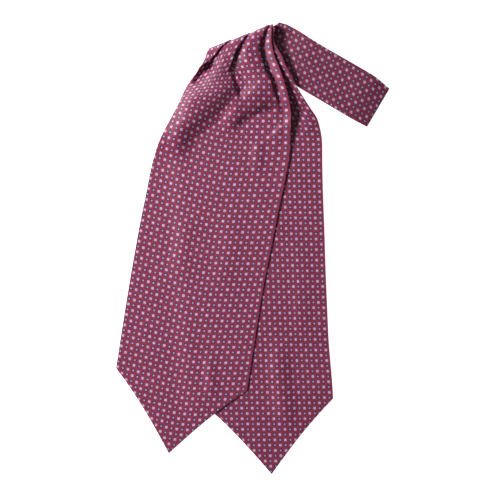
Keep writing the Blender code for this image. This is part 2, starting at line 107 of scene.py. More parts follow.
FRONT_COLUMNS = ("down", "slant", "left", "margin",
                 "edge1", "back1", "rise1", "open1",
                 "edge2", "back2", "rise2", "open2", "right")
FRONT_SECTIONS = (
    (0, 23.0, -33.6, 24.5, 13.0, 11.9, 2.8, 0.0, 35.9, 11.9, 2.8, 0.0, 39.8),
    (4, 23.0, -34.8, 19.8, 9.4, 12.2, 2.8, 0.0, 33.8, 12.5, 2.8, 0.0, 39.9),
    (9, 23.0, -36.4, 12.1, 4.8, 13.0, 4.2, 0.0, 31.3, 13.0, 4.0, 0.0, 40.5),
    (14, 22.5, -38.2, 7.6, 1.2, 13.0, 5.6, 0.0, 29.3, 13.5, 5.2, 0.0, 41.0),
    (20, 22.0, -41.8, 2.4, -1.2, 12.0, 6.4, 0.0, 28.5, 14.0, 6.0, 0.0, 41.9),
    (28, 20.5, -47.2, 0.0, -2.3, 8.5, 6.2, 0.0, 29.8, 14.0, 6.4, 0.0, 44.0),
    (36, 18.5, -51.0, 0.0, -2.4, 4.2, 4.2, 0.35, 33.3, 13.0, 6.6, 0.0, 47.1),
    (46, 15.5, -53.2, 0.0, 1.8, 4.0, 1.8, 0.9, 37.5, 10.0, 6.6, 0.0, 52.5),
    (58, 11.5, -54.6, 0.0, 5.0, 4.0, 1.2, 1.0, 46.0, 5.0, 6.2, 0.1, 59.0),
    (72, 7.0, -56.5, 0.0, 7.2, 4.0, 0.6, 1.0, 53.0, 4.5, 4.8, 0.6, 65.8),
    (88, 3.0, -60.1, 0.0, 9.3, 4.0, 0.3, 1.0, 57.6, 4.0, 3.0, 1.0, 71.7),
    (106, 0.0, -64.8, 0.0, 11.0, 4.0, 0.2, 1.0, 60.0, 4.0, 1.4, 1.0, 74.1),
    (126, -2.5, -68.8, 0.0, 12.0, 4.0, 0.0, 1.0, 60.5, 4.0, 0.4, 1.0, 76.7),
) + opened_out((
    (150, -4.5, -70.3, 76.2), (180, -6.5, -70.9, 74.6), (220, -8.0, -71.9, 73.4),
    (270, -9.0, -72.2, 72.1), (330, -9.7, -71.7, 72.9), (376, -9.7, -71.0, 73.5),
    (460, -9.7, -71.0, 73.5),
), (0.0, 12.0, 5.0, 0.0, 1.0, 60.5, 5.0, 0.0, 1.0))
BACK_COLUMNS = ("down", "slant", "left",
                "edge1", "back1", "rise1", "open1",
                "edge2", "back2", "rise2", "open2", "right")
BACK_SECTIONS = (
    (0, 23.0, -41.0, -11.0, 14.0, 2.8, 0.0, 19.0, 18.0, 2.8, 0.0, 28.3),
    (9, 23.0, -41.5, -11.5, 14.0, 2.8, 0.0, 17.0, 17.5, 2.8, 0.0, 26.4),
    (14, 22.5, -42.0, -12.5, 13.5, 2.8, 0.0, 14.5, 16.5, 2.8, 0.0, 24.2),
    (20, 22.0, -43.3, -13.0, 13.0, 2.8, 0.0, 14.0, 16.0, 2.8, 0.0, 24.6),
    (28, 20.5, -45.3, -13.0, 12.0, 2.8, 0.0, 15.0, 15.0, 2.8, 0.0, 27.3),
    (36, 19.0, -47.8, -12.0, 11.0, 2.8, 0.0, 18.0, 14.0, 2.8, 0.0, 31.5),
    (46, 17.0, -50.8, -11.0, 9.0, 2.9, 0.0, 21.0, 9.4, 2.9, 0.0, 35.0),
    (58, 14.5, -54.3, -10.0, 2.8, 3.7, 0.05, 27.0, 2.8, 3.7, 0.05, 41.0),
    (72, 12.0, -58.3, -9.0, 3.0, 2.6, 0.8, 33.0, 3.0, 2.6, 0.8, 47.6),
    (88, 9.5, -62.8, -8.0, 3.0, 1.6, 1.0, 38.0, 3.0, 1.6, 1.0, 57.3),
    (106, 7.5, -67.3, -7.0, 4.0, 0.5, 1.0, 42.0, 4.0, 0.5, 1.0, 68.0),
) + opened_out((
    (126, 6.0, -69.8, 71.0), (150, 5.0, -70.3, 70.2), (180, 4.0, -70.3, 69.5),
    (220, 3.3, -70.3, 69.2), (270, 2.8, -70.3, 68.6), (330, 2.5, -70.3, 68.5),
    (398, 2.5, -70.3, 70.6), (490, 2.5, -70.3, 70.6),
), (-6.0, 5.0, 0.0, 1.0, 43.0, 5.0, 0.0, 1.0))
PRINT_COLUMNS = ("down", "band", "width", "taken",
                 "left", "middle", "bend", "row_left", "row_right")
FRONT = {
    "name": "front",
    "columns": FRONT_COLUMNS, "sections": FRONT_SECTIONS,
    # how far the right hem stands up, by distance down
    "hem_lift": (
        (0, 4.0), (46, 4.0), (64, 4.0), (84, 2.4), (100, 1.4), (126, 0.8), (160, 0.4), (240, 0.0)),
    # where the axis meets the ridge's outline, and how the blade goes round the ridge
    "top": np.array([-15.7, 227.7]), "lean": math.radians(9.7),
    "radius": OUTER_RADIUS, "reach": RIDGE_REACH,
    "fullness": ((-34.0, -14.0, -4.0, 28.0, 36.5, 39.5), (1.7, 1.0, 0.2, 0.3, 0.5, 0.7)),
    "corner": 375.5, "point": 82.0, "sag": 2.6,
    # the guide points at each pleat's edge and root
    "turns": (13, 21, 29, 37),
    "print": (
        (0, -22, 30, 14.0, -14.0, 24.0, 13, 22, 12),
        (14, -22, 26, 12.0, -11.0, 20.0, 5, 19, 10),
        (28, -20, 14, 8.6, -7.5, 16.0, 0, 15, 9),
        (36, -18, 10, 7.4, -5.5, 13.0, 0, 11, 7),
        (46, -24, 10, 5.6, -3.8, 10.0, 2, 3, 4),
        (58, -32, 10, 1.6, -3.2, 7.5, 6, -7, 1),
        (72, -41, 12, 0.0, -2.6, 6.0, 8, -12, 0),
        (88, -48, 14, 0.0, -2.0, 4.0, 10, -14, 0),
        (106, -52, 16, 0.0, -1.5, 2.5, 10, -14, 0),
        (126, -55, 18, 0.0, -1.0, 1.0, 10, -14, 0),
        (150, -56, 20, 0.0, -0.5, 0.3, 9, -14, 0),
        (220, -56, 20, 0.0, 0.0, 0.0, 8, -14, 0),
        (460, -56, 20, 0.0, 0.0, 0.0, 6, -14, 0),
    ),
}
BACK = {
    "name": "back",
    "columns": BACK_COLUMNS, "sections": BACK_SECTIONS,
    "hem_lift": ((0, 6.2), (40, 6.4), (56, 5.6), (68, 2.6), (80, 0.6), (92, 0.0)),
    "top": np.array([-1.1, 233.9]), "lean": math.radians(-2.52),
    "radius": INNER_RADIUS, "reach": 0.0,
    "fullness": ((12.0, 20.0, 28.0), (0.0, 1.0, 3.2)),
    "corner": 401.0, "point": 79.5, "sag": 2.4,
    "turns": (6, 14, 22, 30),
    "print": (
        (0, -40, 14, 0.0, -20.0, 10.0, 0, 15, 10),
        (46, -40, 14, 0.0, -10.0, 8.0, 0, 8, 0),
        (72, -40, 16, 0.0, -8.0, 6.0, 0, 4, -2),
        (106, -45, 18, 0.0, -3.0, 1.5, 0, 0, -1),
        (150, -50, 20, 0.0, 0.0, 0.0, 0, 0, 0),
        (490, -50, 20, 0.0, 0.0, 0.0, 0, 0, 0),
    ),
}
print(len(FRONT_SECTIONS), "front sections,", len(BACK_SECTIONS), "back sections")

# %% [markdown]
# ## Reading the tables smoothly
#
# Straight lines between two rows of a table would show as kinks down the cloth.
# A cubic that never overshoots its rows keeps every edge smooth, and reading it
# once at a fine spacing makes the later steps quick.

# %% Smooth readings between the rows
READING_STEP = 0.5


def smooth(x):
    """Rises softly from 0 to 1 while x goes from 0 to 1."""
    x = np.clip(x, 0.0, 1.0)
    return x * x * (3.0 - 2.0 * x)


def fall(x):
    """Falls softly from 1 to 0 while x goes from 0 to 1."""
    return 0.5 + 0.5 * np.cos(math.pi * np.clip(x, 0.0, 1.0))


def dense_table(sections):
    """The table read every half millimetre, by a monotone cubic."""
    table = np.array(sections, dtype=float)
    at = table[:, 0]
    slopes = np.diff(table, axis=0) / np.diff(at)[:, None]
    before, after = slopes[:-1], slopes[1:]
    same = before * after > 0.0
    total = np.where(same, before + after, 1.0)
    inner = np.where(same, 2.0 * before * after / total, 0.0)
    tangents = np.vstack([slopes[:1], inner, slopes[-1:]])
    downs = np.arange(at[0], at[-1] + READING_STEP, READING_STEP)
    i = np.clip(np.searchsorted(at, downs) - 1, 0, len(at) - 2)
    span = (at[i + 1] - at[i])[:, None]
    t = np.clip((downs - at[i])[:, None] / span, 0.0, 1.0)
    h00 = 2 * t ** 3 - 3 * t ** 2 + 1
    h10 = t ** 3 - 2 * t ** 2 + t
    h11 = t ** 3 - t ** 2
    values = (h00 * table[i] + h10 * span * tangents[i]
              + (1 - h00) * table[i + 1] + h11 * span * tangents[i + 1])
    return downs, values


for blade in (FRONT, BACK):
    blade["downs"], blade["values"] = dense_table(blade["sections"])


def reading(blade, down, column):
    """One column of the blade's table at any distances down."""
    values = blade["values"][:, blade["columns"].index(column)]
    return np.interp(down, blade["downs"], values)


print("fine readings:", len(FRONT["downs"]), len(BACK["downs"]))

# %% [markdown]
# ## A knife pleat, seen in section
#
# A knife pleat is a Z: the silk runs to the pleat's edge, turns back under
# itself, and turns again to go on. Eight guide points make the two round turns
# and four more lead in and out. As the pleat opens, the same twelve points
# slide to a low swell, so that the fold fades out instead of stopping.

# %% Guide points of pleats, climbs and the turned hem
LEAST_HEM = 2.6
HEM_TURNS_OVER = 6.0
SWELLS = (9.0, 7.0)


def turn_guides(tip, height, width, side):
    """Four guides of a round turn, from its upper layer to its lower one."""
    r = 0.5 * width
    near, far = tip - side * ROUND * r, tip
    return [(near, height), (far, height - ROUND * r),
            (far, height - (2.0 - ROUND) * r), (near, height - width)]


def pleat_points(edge, back, rise, opened, reach):
    """Twelve guide points of a knife pleat, from its edge round to its root.

    Once it has opened out they are a swell that reaches to both sides of its edge.
    """
    step = min(PITCH / max(1.0 - opened, 0.3), 0.5 * rise)
    root = edge - back
    folded = np.array(
        [(edge - 1.2 * step, rise)] + turn_guides(edge, rise, step, 1)
        + [(edge - min(1.2 * step, 0.4 * back), rise - step),
           (root + min(1.2 * step, 0.4 * back), step)]
        + turn_guides(root, step, step, -1) + [(root + 1.2 * step, 0.0)])
    spread = np.linspace(-reach, reach, 12)
    bump = fall((spread / reach - 0.1) / 0.9)
    bump = np.where(spread < 0.1 * reach, 1.0 - 0.25 * (spread / reach) ** 2, bump)
    flat = np.column_stack([edge + spread, rise * bump])
    return (1.0 - opened) * folded + opened * flat


def climb_guides(start, climb_from, climb_to, pleat_start):
    """Guides of a run that climbs over the fold beneath it, up to its own edge."""
    p_end, height = pleat_start
    before = max(climb_from - 1.5, 0.5 * (start + climb_from))
    beyond = 0.5 * (climb_to + min(climb_to + 4.0, p_end))
    return [(before, 0.0), (climb_from, 0.0), (climb_to, height), (beyond, height)]


def margin_guides(left, margin, pitch, climb_from, climb_to, rise):
    """Seven guides of the left hem, from its edge to where it turns under."""
    angle = math.pi * float(smooth(margin / HEM_TURNS_OVER))
    length = max(margin, LEAST_HEM)
    r = 0.5 * pitch
    middle = min(max(climb_from - left, PITCH + 0.5), length - 0.5)
    place = np.array([0.0, 0.0])
    points = [place]
    side = 2.0 * r * math.tan(math.pi / 8.0)
    for k in (1, 2, 3):
        turned = angle * k / 4.0
        place = place + side * np.array([-math.cos(turned), math.sin(turned)])
        points.append(place)
    back = np.array([-math.cos(angle), math.sin(angle)])
    points += [place + share * back for share in (1.2 * r, middle, length)]
    points = np.array(points[::-1])
    points[:, 0] += left - points[:, 0].min()
    if angle > 0.9 * math.pi:
        points[:, 1] += np.interp(points[:, 0], (climb_from, climb_to), (0.0, rise))
    return [tuple(point) for point in points]


print("a closed pleat is", round(STACK, 2), "mm high")

# %% [markdown]
# ## One row of cloth
#
# The guides are joined by a smooth curve that runs through the middles of the
# lines between them. Points are picked along it: close together in the turns,
# and evenly where the silk lies flat. Each point also knows how far it is past
# each pleat, because the print has to follow the cloth through every fold.

# %% Points across a blade
HEM_STEPS = 3
CURVE_STEPS = 8
PICK_EVERY = 2
EVEN_FROM, EVEN_OVER = 58.0, 66.0
OPENED_WIDTH = 56.0


def section_guides(blade, down):
    """Guide points across a blade: distance from its axis, and height."""
    row = {name: float(reading(blade, down, name)) for name in blade["columns"]}
    left, right = row["left"], row["right"]
    pleat1 = pleat_points(row["edge1"], row["back1"], row["rise1"], row["open1"], SWELLS[0])
    pleat2 = pleat_points(row["edge2"], row["back2"], row["rise2"], row["open2"], SWELLS[1])
    margin = row.get("margin", 0.0)
    climb_to = pleat1[:, 0].min() - CLIMB_LEAD
    climb_from = min(left + max(margin - 5.0, 7.0), climb_to - 4.0)
    guides = []
    start = left
    if "margin" in row:
        pitch = np.interp(down, *MARGIN_PITCHES)
        guides = margin_guides(left, margin, pitch, climb_from, climb_to, pleat1[0, 1])
        start = guides[-1][0] + PITCH
    guides += climb_guides(start, climb_from, climb_to, pleat1[0])
    guides.extend(map(tuple, pleat1))
    climb_to = pleat2[:, 0].min() - CLIMB_LEAD
    climb_from = min(max(pleat1[:, 0].max() + 1.8, pleat1[-1, 0] + 2.0), climb_to - 2.0)
    guides += climb_guides(pleat1[-1, 0], climb_from, climb_to, pleat2[0])
    guides.extend(map(tuple, pleat2))
    for p in np.linspace(pleat2[-1, 0], right, HEM_STEPS + 1)[1:]:
        guides.append((p, 0.0))
    return np.array(guides)


def smooth_path(guides):
    """A smooth curve through the middles of the lines between guide points."""
    middles = 0.5 * (guides[:-1] + guides[1:])
    middles[0] = guides[0]
    middles[-1] = guides[-1]
    path = [guides[:1]]
    t = (np.arange(1, CURVE_STEPS + 1) / CURVE_STEPS)[:, None]
    for i in range(1, len(guides) - 1):
        path.append((1 - t) ** 2 * middles[i - 1] + 2 * t * (1 - t) * guides[i]
                    + t * t * middles[i])
    return np.vstack(path)


def section_points(blade, down):
    """A row across the blade: distance from its axis, height, and share past each pleat."""
    path = smooth_path(section_guides(blade, down))
    length = np.concatenate([[0.0], np.cumsum(np.hypot(*np.diff(path, axis=0).T))])
    evenness = float(smooth((down - EVEN_FROM) / EVEN_OVER))
    picked = length[::PICK_EVERY]
    even = np.linspace(0.0, length[-1], len(picked))
    at = (1 - evenness) * picked + evenness * even
    p = np.interp(at, length, path[:, 0])
    past = []
    for k in (1, 2):
        edge, root = (length[CURVE_STEPS * guide] for guide in blade["turns"][2 * k - 2:2 * k])
        opened = float(smooth(reading(blade, down, f"open{k}")))
        wide = smooth((p - reading(blade, down, f"edge{k}")) / OPENED_WIDTH + 0.5)
        past.append((1 - opened) * smooth((at - edge) / (root - edge)) + opened * wide)
    return np.column_stack([p, np.interp(at, length, path[:, 1]), *past])


for name, blade in (("front", FRONT), ("back", BACK)):
    spans = [np.hypot(*np.diff(smooth_path(section_guides(blade, d)), axis=0).T).sum()
             for d in (0, 30, 60, 120, 300)]
    print(name, "cloth across, by distance down:", np.round(spans, 1))

# %% [markdown]
# ## What the cloth lies on
#
# On the table the silk is flat. Over the folded neckband it is lifted, and it
# comes down again in a soft slope: a short one for the back blade, and a long
# one for the front blade, which spans the corner like a tent. The front blade is
# lifted once more where the back blade is under it. The right hems are springy
# at the top and stand up a few millimetres, and the front blade's layers step
# down from left to right there, so that each pleat's edge overhangs the next.

# %% Heights of the laid cloth
EDGE_NORMAL = np.array([-0.3786, -0.9255])
BAND_STAYS = {"front": 10.0, "back": 0.0}
BAND_FALL = {"front": 64.0, "back": 34.0}
RIDGE_FALL = 30.0
STACK_FALL = 25.0
HEM_WIDTH = 14.0
SOFTNESS = 4.6
LEVEL_FROM, LEVEL_OVER = 40.0, 50.0
LEVEL_SLOPE, LEVEL_MOST = 0.13, 4.0
VALLEY, VALLEY_AT, VALLEY_REACH = 2.4, 3.0, 6.5
BACK_HALF, BACK_HEM_SLANT = 70.0, 2.5
LEFT_INSET, LEFT_RISE = 32.0, 20.0
POINT_INSET, POINT_RISE = 44.0, 26.0


def ridge_depth(plan):
    """Distance of plan points below the ridge's outline."""
    return (plan - RIDGE_LEFT) @ INTO_RIDGE


def support(plan, name):
    """1 on the neckband and the ridge, 0 where a blade has come down."""
    below_band = (plan - RIDGE_LEFT) @ EDGE_NORMAL
    on_band = fall((below_band - BAND_STAYS[name]) / BAND_FALL[name])
    on_ridge = fall((ridge_depth(plan) - RIDGE_REACH) / RIDGE_FALL)
    return 1.0 - (1.0 - on_band) * (1.0 - on_ridge)


def axis_directions(blade):
    """Directions down the blade's axis, and its slide along the ridge per mm."""
    down = np.array([-math.sin(blade["lean"]), -math.cos(blade["lean"])])
    return down, (down @ ALONG_RIDGE) / (down @ INTO_RIDGE)


def over_back_blade(plan):
    """Height of the back blade's layers under plan points, 0 outside its outline."""
    direction = axis_directions(BACK)[0]
    right_axis = np.array([-direction[1], direction[0]])
    offset = plan - BACK["top"]
    down, aside = offset @ direction, offset @ right_axis
    tilt = np.tan(np.radians(reading(BACK, down, "slant") - BACK_HEM_SLANT))
    down_row = down + tilt * aside
    past_left = aside - reading(BACK, down_row, "left")
    inside_left = smooth((past_left + LEFT_INSET) / LEFT_RISE)
    hem = BACK["corner"] + BACK["point"] * (1.0 - np.abs(aside) / BACK_HALF)
    inside_point = smooth((hem - down + POINT_INSET) / POINT_RISE)
    pleats = np.maximum(reading(BACK, down_row, "rise1"), reading(BACK, down_row, "rise2"))
    return inside_left * inside_point * (WALL + GAP + DRAPE_ROOM + pleats)


print("lift over the neckband:", round(LIFT, 2), "mm")

# %% [markdown]
# ## Creases, listed one by one
#
# Below the pleats the silk is not yet flat. The full width that the pleats let
# go pushes up soft ridges, with troughs between them, and the longest one runs
# from the middle of the ridge down to the left hem. Each crease here is a line
# of a few points with a height and the widths of its two banks, and fades out
# at both ends. A height below nought makes a trough.

# %% Creases: height, left and right banks, fade, and line upwards, in millimetres
FRONT_CREASES = (
    (8.8, 42.0, 26.0, 0.25, ((-95, 96), (-82, 130), (-58, 152), (-38, 168), (-16, 188))),
    (4.4, 14.0, 22.0, 0.3, ((-25, 124), (-24, 140), (-13, 156), (4, 166), (16, 176))),
    (-7.0, 18.0, 22.0, 0.35, ((-16, 116), (-4, 129), (12, 139), (26, 147), (34, 160))),
    (-2.6, 4.5, 4.5, 0.3, ((-22, 190), (-18, 178), (-14, 168), (-12, 160))),
    (-5.0, 4.0, 11.0, 0.25, ((-65, 174), (-58, 185), (-50, 194), (-40, 203))),
    (1.2, 10.0, 10.0, 0.3, ((3, 132), (5, 108), (4, 80))),
    (1.5, 9.0, 12.0, 0.35, ((-44, -166), (-47, -140), (-49, -112))),
    (0.8, 16.0, 16.0, 0.4, ((-88, -50), (-78, 0), (-70, 40))),
    (0.7, 18.0, 18.0, 0.4, ((-40, -70), (-26, 0), (-20, 60))),
)
BACK_CREASES = (
    (2.3, 16.0, 18.0, 0.3, ((38, -206), (33, -170), (28, -135), (26, -98))),
    (0.8, 14.0, 16.0, 0.4, ((52, -110), (52, -50), (50, 20))),
    (1.8, 18.0, 15.0, 0.3, ((62, 116), (59, 146), (52, 166), (42, 180))),
)


def crease_height(plan, rise, reach_left, reach_right, fade, line):
    """Height of one crease at plan points, its banks left and right of its line."""
    line = np.array(line, float)
    steps = np.diff(line, axis=0)
    lengths = np.hypot(*steps.T)
    starts = np.concatenate([[0.0], np.cumsum(lengths)[:-1]])
    best = np.full(len(plan), np.inf)
    along = np.zeros(len(plan))
    reach = np.full(len(plan), float(reach_left))
    for a, step, length, start in zip(line, steps, lengths, starts):
        t = np.clip((plan - a) @ step / length ** 2, 0.0, 1.0)
        gap = np.linalg.norm(plan - (a + t[:, None] * step), axis=1)
        nearer = gap < best
        aside = (plan - a) @ np.array([-step[1], step[0]])
        reach = np.where(nearer, np.where(aside > 0.0, reach_left, reach_right), reach)
        best = np.where(nearer, gap, best)
        along = np.where(nearer, (start + t * length) / lengths.sum(), along)
    ends = smooth(np.minimum(along, 1.0 - along) / fade + 0.05)
    return rise * ends * fall(best / reach)


def panel_levels(blade, downs, p):
    """Height added to all layers: the lifted right hem, and steps down to the right."""
    table = np.array(blade["hem_lift"], float)
    lift = np.interp(downs, table[:, 0], table[:, 1])
    height = lift * smooth((p - reading(blade, downs, "right")) / HEM_WIDTH + 1.0)
    if blade is FRONT:
        past_edge = p - reading(blade, downs, "edge2")
        upper = fall((downs - LEVEL_FROM) / LEVEL_OVER)
        height = height + upper * np.clip(-LEVEL_SLOPE * past_edge, 0.0, LEVEL_MOST)
        height = height - VALLEY * upper * fall(np.abs(past_edge - VALLEY_AT) / VALLEY_REACH)
    return height


def laid_height(blade, plan):
    """Height of the middle of the silk where the blade lies on what is under it."""
    held_up = support(plan, blade["name"])
    height = 0.5 * WALL + LIFT * held_up
    beneath = 0.5 * WALL + LIFT * support(plan, "back")
    creases = BACK_CREASES
    if blade is FRONT:
        at_ridge = fall((ridge_depth(plan) - RIDGE_REACH) / STACK_FALL)
        stack = at_ridge * (STACK + GAP) + (1.0 - at_ridge) * over_back_blade(plan)
        height, beneath = height + stack, beneath + stack
        creases = FRONT_CREASES
    lowest = np.minimum(beneath, height - SOFTNESS * held_up)
    for crease in creases:
        height = height + crease_height(plan, *crease)
    return np.maximum(height, lowest)


print(len(FRONT_CREASES) + len(BACK_CREASES), "creases")

# %% [markdown]
# ## Down the blade, and round the ridge
#
# From the seam under the ridge each blade goes half round the ridge and then
# down its axis. Lower down its two sides run straight to the corners, and the
# rows turn more and more into a chevron, so that the last row is the pointed
# hem itself. The hem sags a little between its corners and its point, as a bias
# edge does.

# %% Rows round the ridge and on the table
FLATTENED = 0.65
MEAN_RISE = 1.6


def wrap_row(blade, angle, points):
    """A row of the blade bent round the ridge: 0 on top, 180 degrees beneath."""
    p, h = points[:, 0], points[:, 1]
    a = math.radians(angle)
    slide = axis_directions(blade)[1]
    outline = RIDGE_REACH - blade["reach"]
    depth = RIDGE_REACH - blade["reach"] * math.sin(a)
    aside = slide * depth
    if angle > 90:
        aside = slide * outline - UNDER_SLIDE * (depth - outline)
    radius = blade["radius"] + h
    fullness = np.interp(p, *blade["fullness"])
    pressed = FLATTENED * (MEAN_RISE - h) * math.sin(a)
    inward = RIDGE_REACH - (radius + pressed + fullness) * math.sin(a)
    plan = (blade["top"] + (p + aside)[:, None] * ALONG_RIDGE
            + inward[:, None] * INTO_RIDGE)
    return np.column_stack([plan, AXIS_HEIGHT + radius * math.cos(a)])


def laid_row(blade, downs, p, h):
    """A row of the blade lying on the neckband or the table."""
    direction = axis_directions(blade)[0]
    slant = np.radians(reading(blade, downs, "slant"))
    across = np.column_stack([np.cos(slant), np.sin(slant)])
    plan = blade["top"] + np.outer(downs, direction) + p[:, None] * across
    height = laid_height(blade, plan) + panel_levels(blade, downs, p) + h
    return np.column_stack([plan, height])


# %% [markdown]
# ## The print's own map
#
# The print was on the silk before it was folded, so every point needs its place
# on the flat cloth. Between the pleats the silk shows its print undistorted, and
# the cloth that a pleat takes up is a jump from one side of it to the other,
# which the pleat hides. At the top left the cloth is gathered softly instead, so
# its print is crowded: "taken" says how much cloth that band takes up. The cloth
# was also pulled a little on the bias when it was laid, so the print's rows bend:
# they fall to the right on the left half of the front blade and run level on its
# right half.

# %% Distances on the flat cloth
BEND_WIDTH = 14.0


def print_places(blade, downs, p, past):
    """Places on the flat cloth, across and along, of points of one row."""
    table = np.array(blade["print"], float)
    row = {name: np.interp(downs, table[:, 0], column)
           for name, column in zip(PRINT_COLUMNS, table.T)}
    left, middle = row["left"], row["middle"]
    right = 0.5 * SILK_WIDTH - reading(blade, downs, "right")
    shift = left - row["taken"] * (1.0 - smooth((p - row["band"]) / row["width"] + 0.5))
    shift = shift + (middle - left) * past[0] + (right - middle) * past[1]
    slant = reading(blade, downs, "slant")
    fall_left = np.tan(np.radians(row["row_left"] - slant))
    fall_right = np.tan(np.radians(row["row_right"] - slant))
    x = p - row["bend"]
    turned = 0.5 * (x + np.sqrt(x * x + BEND_WIDTH ** 2))
    return np.column_stack([p + shift, downs + fall_left * (x - turned) + fall_right * turned])


# %% The grid of a blade
TURN_STEP = 9.0
ROW_STEP = 1.6
POINT_ROWS = 112
POINT_FROM = 124.0
MAP_MIDDLE = 400.0
POINT_EASE = 1.5
SAG_DEPTH, SAG_SHARPNESS = 1.3, 8.0


def blade_grid(blade):
    """Rows of points of a blade, and each point's place in the print, in cells."""
    direction = axis_directions(blade)[0]
    meets = RIDGE_REACH / (direction @ INTO_RIDGE)
    outline = meets * (1.0 - blade["reach"] / RIDGE_REACH)
    rows, places = [], []
    for angle in np.arange(180.0, 0.0, -TURN_STEP):
        down = outline
        if angle < 90:
            down = meets - (meets - outline) * math.sin(math.radians(angle))
        points = section_points(blade, down)
        on_top = 0.5 + 0.5 * math.cos(math.radians(angle))
        points[:, 1] += on_top * panel_levels(blade, down, points[:, 0])
        rows.append(wrap_row(blade, angle, points))
        travelled = (blade["radius"] + STACK) * math.radians(angle)
        place = print_places(blade, np.full(len(points), meets), points[:, 0], points[:, 2:].T)
        places.append(place - np.array([0.0, travelled]))
    for down in np.arange(meets, meets + POINT_FROM, ROW_STEP):
        points = section_points(blade, down)
        downs = np.full(len(points), down)
        rows.append(laid_row(blade, downs, points[:, 0], points[:, 1]))
        places.append(print_places(blade, downs, points[:, 0], points[:, 2:].T))
    last, past = down, points[:, 2:].T
    share_across = np.linspace(0.0, 1.0, len(points))
    chevron = 1.0 - np.abs(2.0 * share_across - 1.0)
    sag = blade["sag"] * np.sin(math.pi * chevron) * smooth(chevron * SAG_SHARPNESS)
    for k in range(1, POINT_ROWS + 1):
        share = k / POINT_ROWS
        level = last + share * (blade["corner"] - last)
        downs = level + share ** POINT_EASE * (blade["point"] * chevron - SAG_DEPTH * sag)
        left, right = reading(blade, downs, "left"), reading(blade, downs, "right")
        p = left + share_across * (right - left)
        rows.append(laid_row(blade, downs, p, 0.0))
        places.append(print_places(blade, downs, p, past))
    cells = (MAP_MIDDLE + np.array(places) * [1.0, -1.0]) / PRINT_PITCH
    return np.array(rows), cells


# %% [markdown]
# ## From points to a sheet of silk
#
# The grid becomes a mesh of four-sided faces. Solidify gives it the thickness
# of the double silk, half to each side, and a small bevel rounds the hems,
# because a turned hem is a fold and not a cut edge. The flat distances are kept
# as a UV map, so the print stays with the cloth.

# %% Mesh with its cloth map
SHEET_THICK = 0.9
HEM_ROUND = 0.32
HEM_SHARPER_THAN = 70.0


def new_piece(name, points, faces, places):
    """A smooth object from points in millimetres, with a place in the print per corner."""
    mesh = bpy.data.meshes.new(name)
    mesh.from_pydata(((points - PLAN_CENTRE) * MM).tolist(), [], faces)
    layer = mesh.uv_layers.new(name="cloth")
    layer.data.foreach_set("uv", np.array(places, np.float32).ravel())
    mesh.shade_smooth()
    piece = bpy.data.objects.new(name, mesh)
    bpy.context.scene.collection.objects.link(piece)
    return piece


def grid_piece(name, rows, cells):
    """A piece from a grid of points, its faces wound to look up."""
    count = rows.shape[1]
    r, c = np.meshgrid(np.arange(rows.shape[0] - 1), np.arange(count - 1), indexing="ij")
    a = (r * count + c).ravel()
    faces = np.column_stack([a, a + count, a + count + 1, a + 1])
    places = cells.reshape(-1, 2)[faces.ravel()]
    return new_piece(name, rows.reshape(-1, 3), faces.tolist(), places)


def keep_result(piece):
    """Makes the result of a piece's modifiers its own mesh, and removes them."""
    graph = bpy.context.evaluated_depsgraph_get()
    piece_mesh = bpy.data.meshes.new_from_object(piece.evaluated_get(graph))
    piece.modifiers.clear()
    piece.data = piece_mesh


def make_sheet(piece):
    """Gives the silk its thickness and rounds its hems."""
    wall = piece.modifiers.new("Double silk", "SOLIDIFY")
    wall.thickness = SHEET_THICK * MM
    wall.offset = 0.0
    hem = piece.modifiers.new("Rounded hem", "BEVEL")
    hem.width = HEM_ROUND * MM
    hem.segments = 2
    hem.limit_method = "ANGLE"
    hem.angle_limit = math.radians(HEM_SHARPER_THAN)
    keep_result(piece)
    piece.data.shade_smooth()
    print(piece.name, "has", len(piece.data.polygons), "faces")


blades = {}
for name, blade in (("front_silk_blade", FRONT), ("back_silk_blade", BACK)):
    rows, cells = blade_grid(blade)
    blades[name] = grid_piece(name, rows, cells)
    make_sheet(blades[name])

# %% [markdown]
# ## The neckband
#
# Between the blades the strip is folded lengthwise in three, and then doubled,
# with a round fold at its end. One could fold a real sheet six times over, but
# only its face and its edges show. So the band is one closed form, whose
# section has three rounded layers on each edge of each run, and two low steps in
# its face where the folds beneath it end. It is pressed flatter at its end fold
# and under the ridge, where the blades weigh on it.

# %% Sizes of the neckband
BAND_WIDTH = 51.7
BAND_ANGLE = math.radians(30.5)
ALONG_BAND = np.array([math.cos(BAND_ANGLE), -math.sin(BAND_ANGLE)])
ACROSS_BAND = np.array([math.sin(BAND_ANGLE), math.cos(BAND_ANGLE)])
BAND_END = np.array([135.95, 151.63])
BAND_MEETS_RIDGE = RIDGE_LEFT + 80.6 * ALONG_RIDGE + 1.4 * INTO_RIDGE
SEAM_DEPTH = RIDGE_REACH + GAP
SEAM_ENDS = (71.9, -4.4)
HALF_STACK = STACK + 0.5 * GAP
GROOVE = 1.6
BAND_STATIONS = (
    (4.0, 24.6, -23.8), (8.0, 25.6, -24.2), (15.0, 26.6, -24.5), (24.0, 27.4, -24.7),
    (40.0, 27.3, -24.6), (60.0, 27.1, -24.6), (80.0, 26.8, -24.4), (100.0, 27.1, -24.0),
    (118.0, 28.1, -23.9), (131.0, 27.8, -24.5),
)
STEP_AT = (10.0, 30.0)
STEP_DROP = (0.35, 0.75)
STEP_RUN = 1.2
STATION_STEP = 2.5
BAND_PRESSED = ((4.0, 9.0, 16.0, 26.0, 96.0, 108.0, 120.0, 131.0),
                (0.52, 0.67, 0.88, 1.0, 1.0, 0.88, 0.66, 0.6))
EDGE_ARC = 6
EDGE_INSET = 1.5
FACE_POINTS, BASE_POINTS = 42, 12
SEAM_FURTHER = 12.0


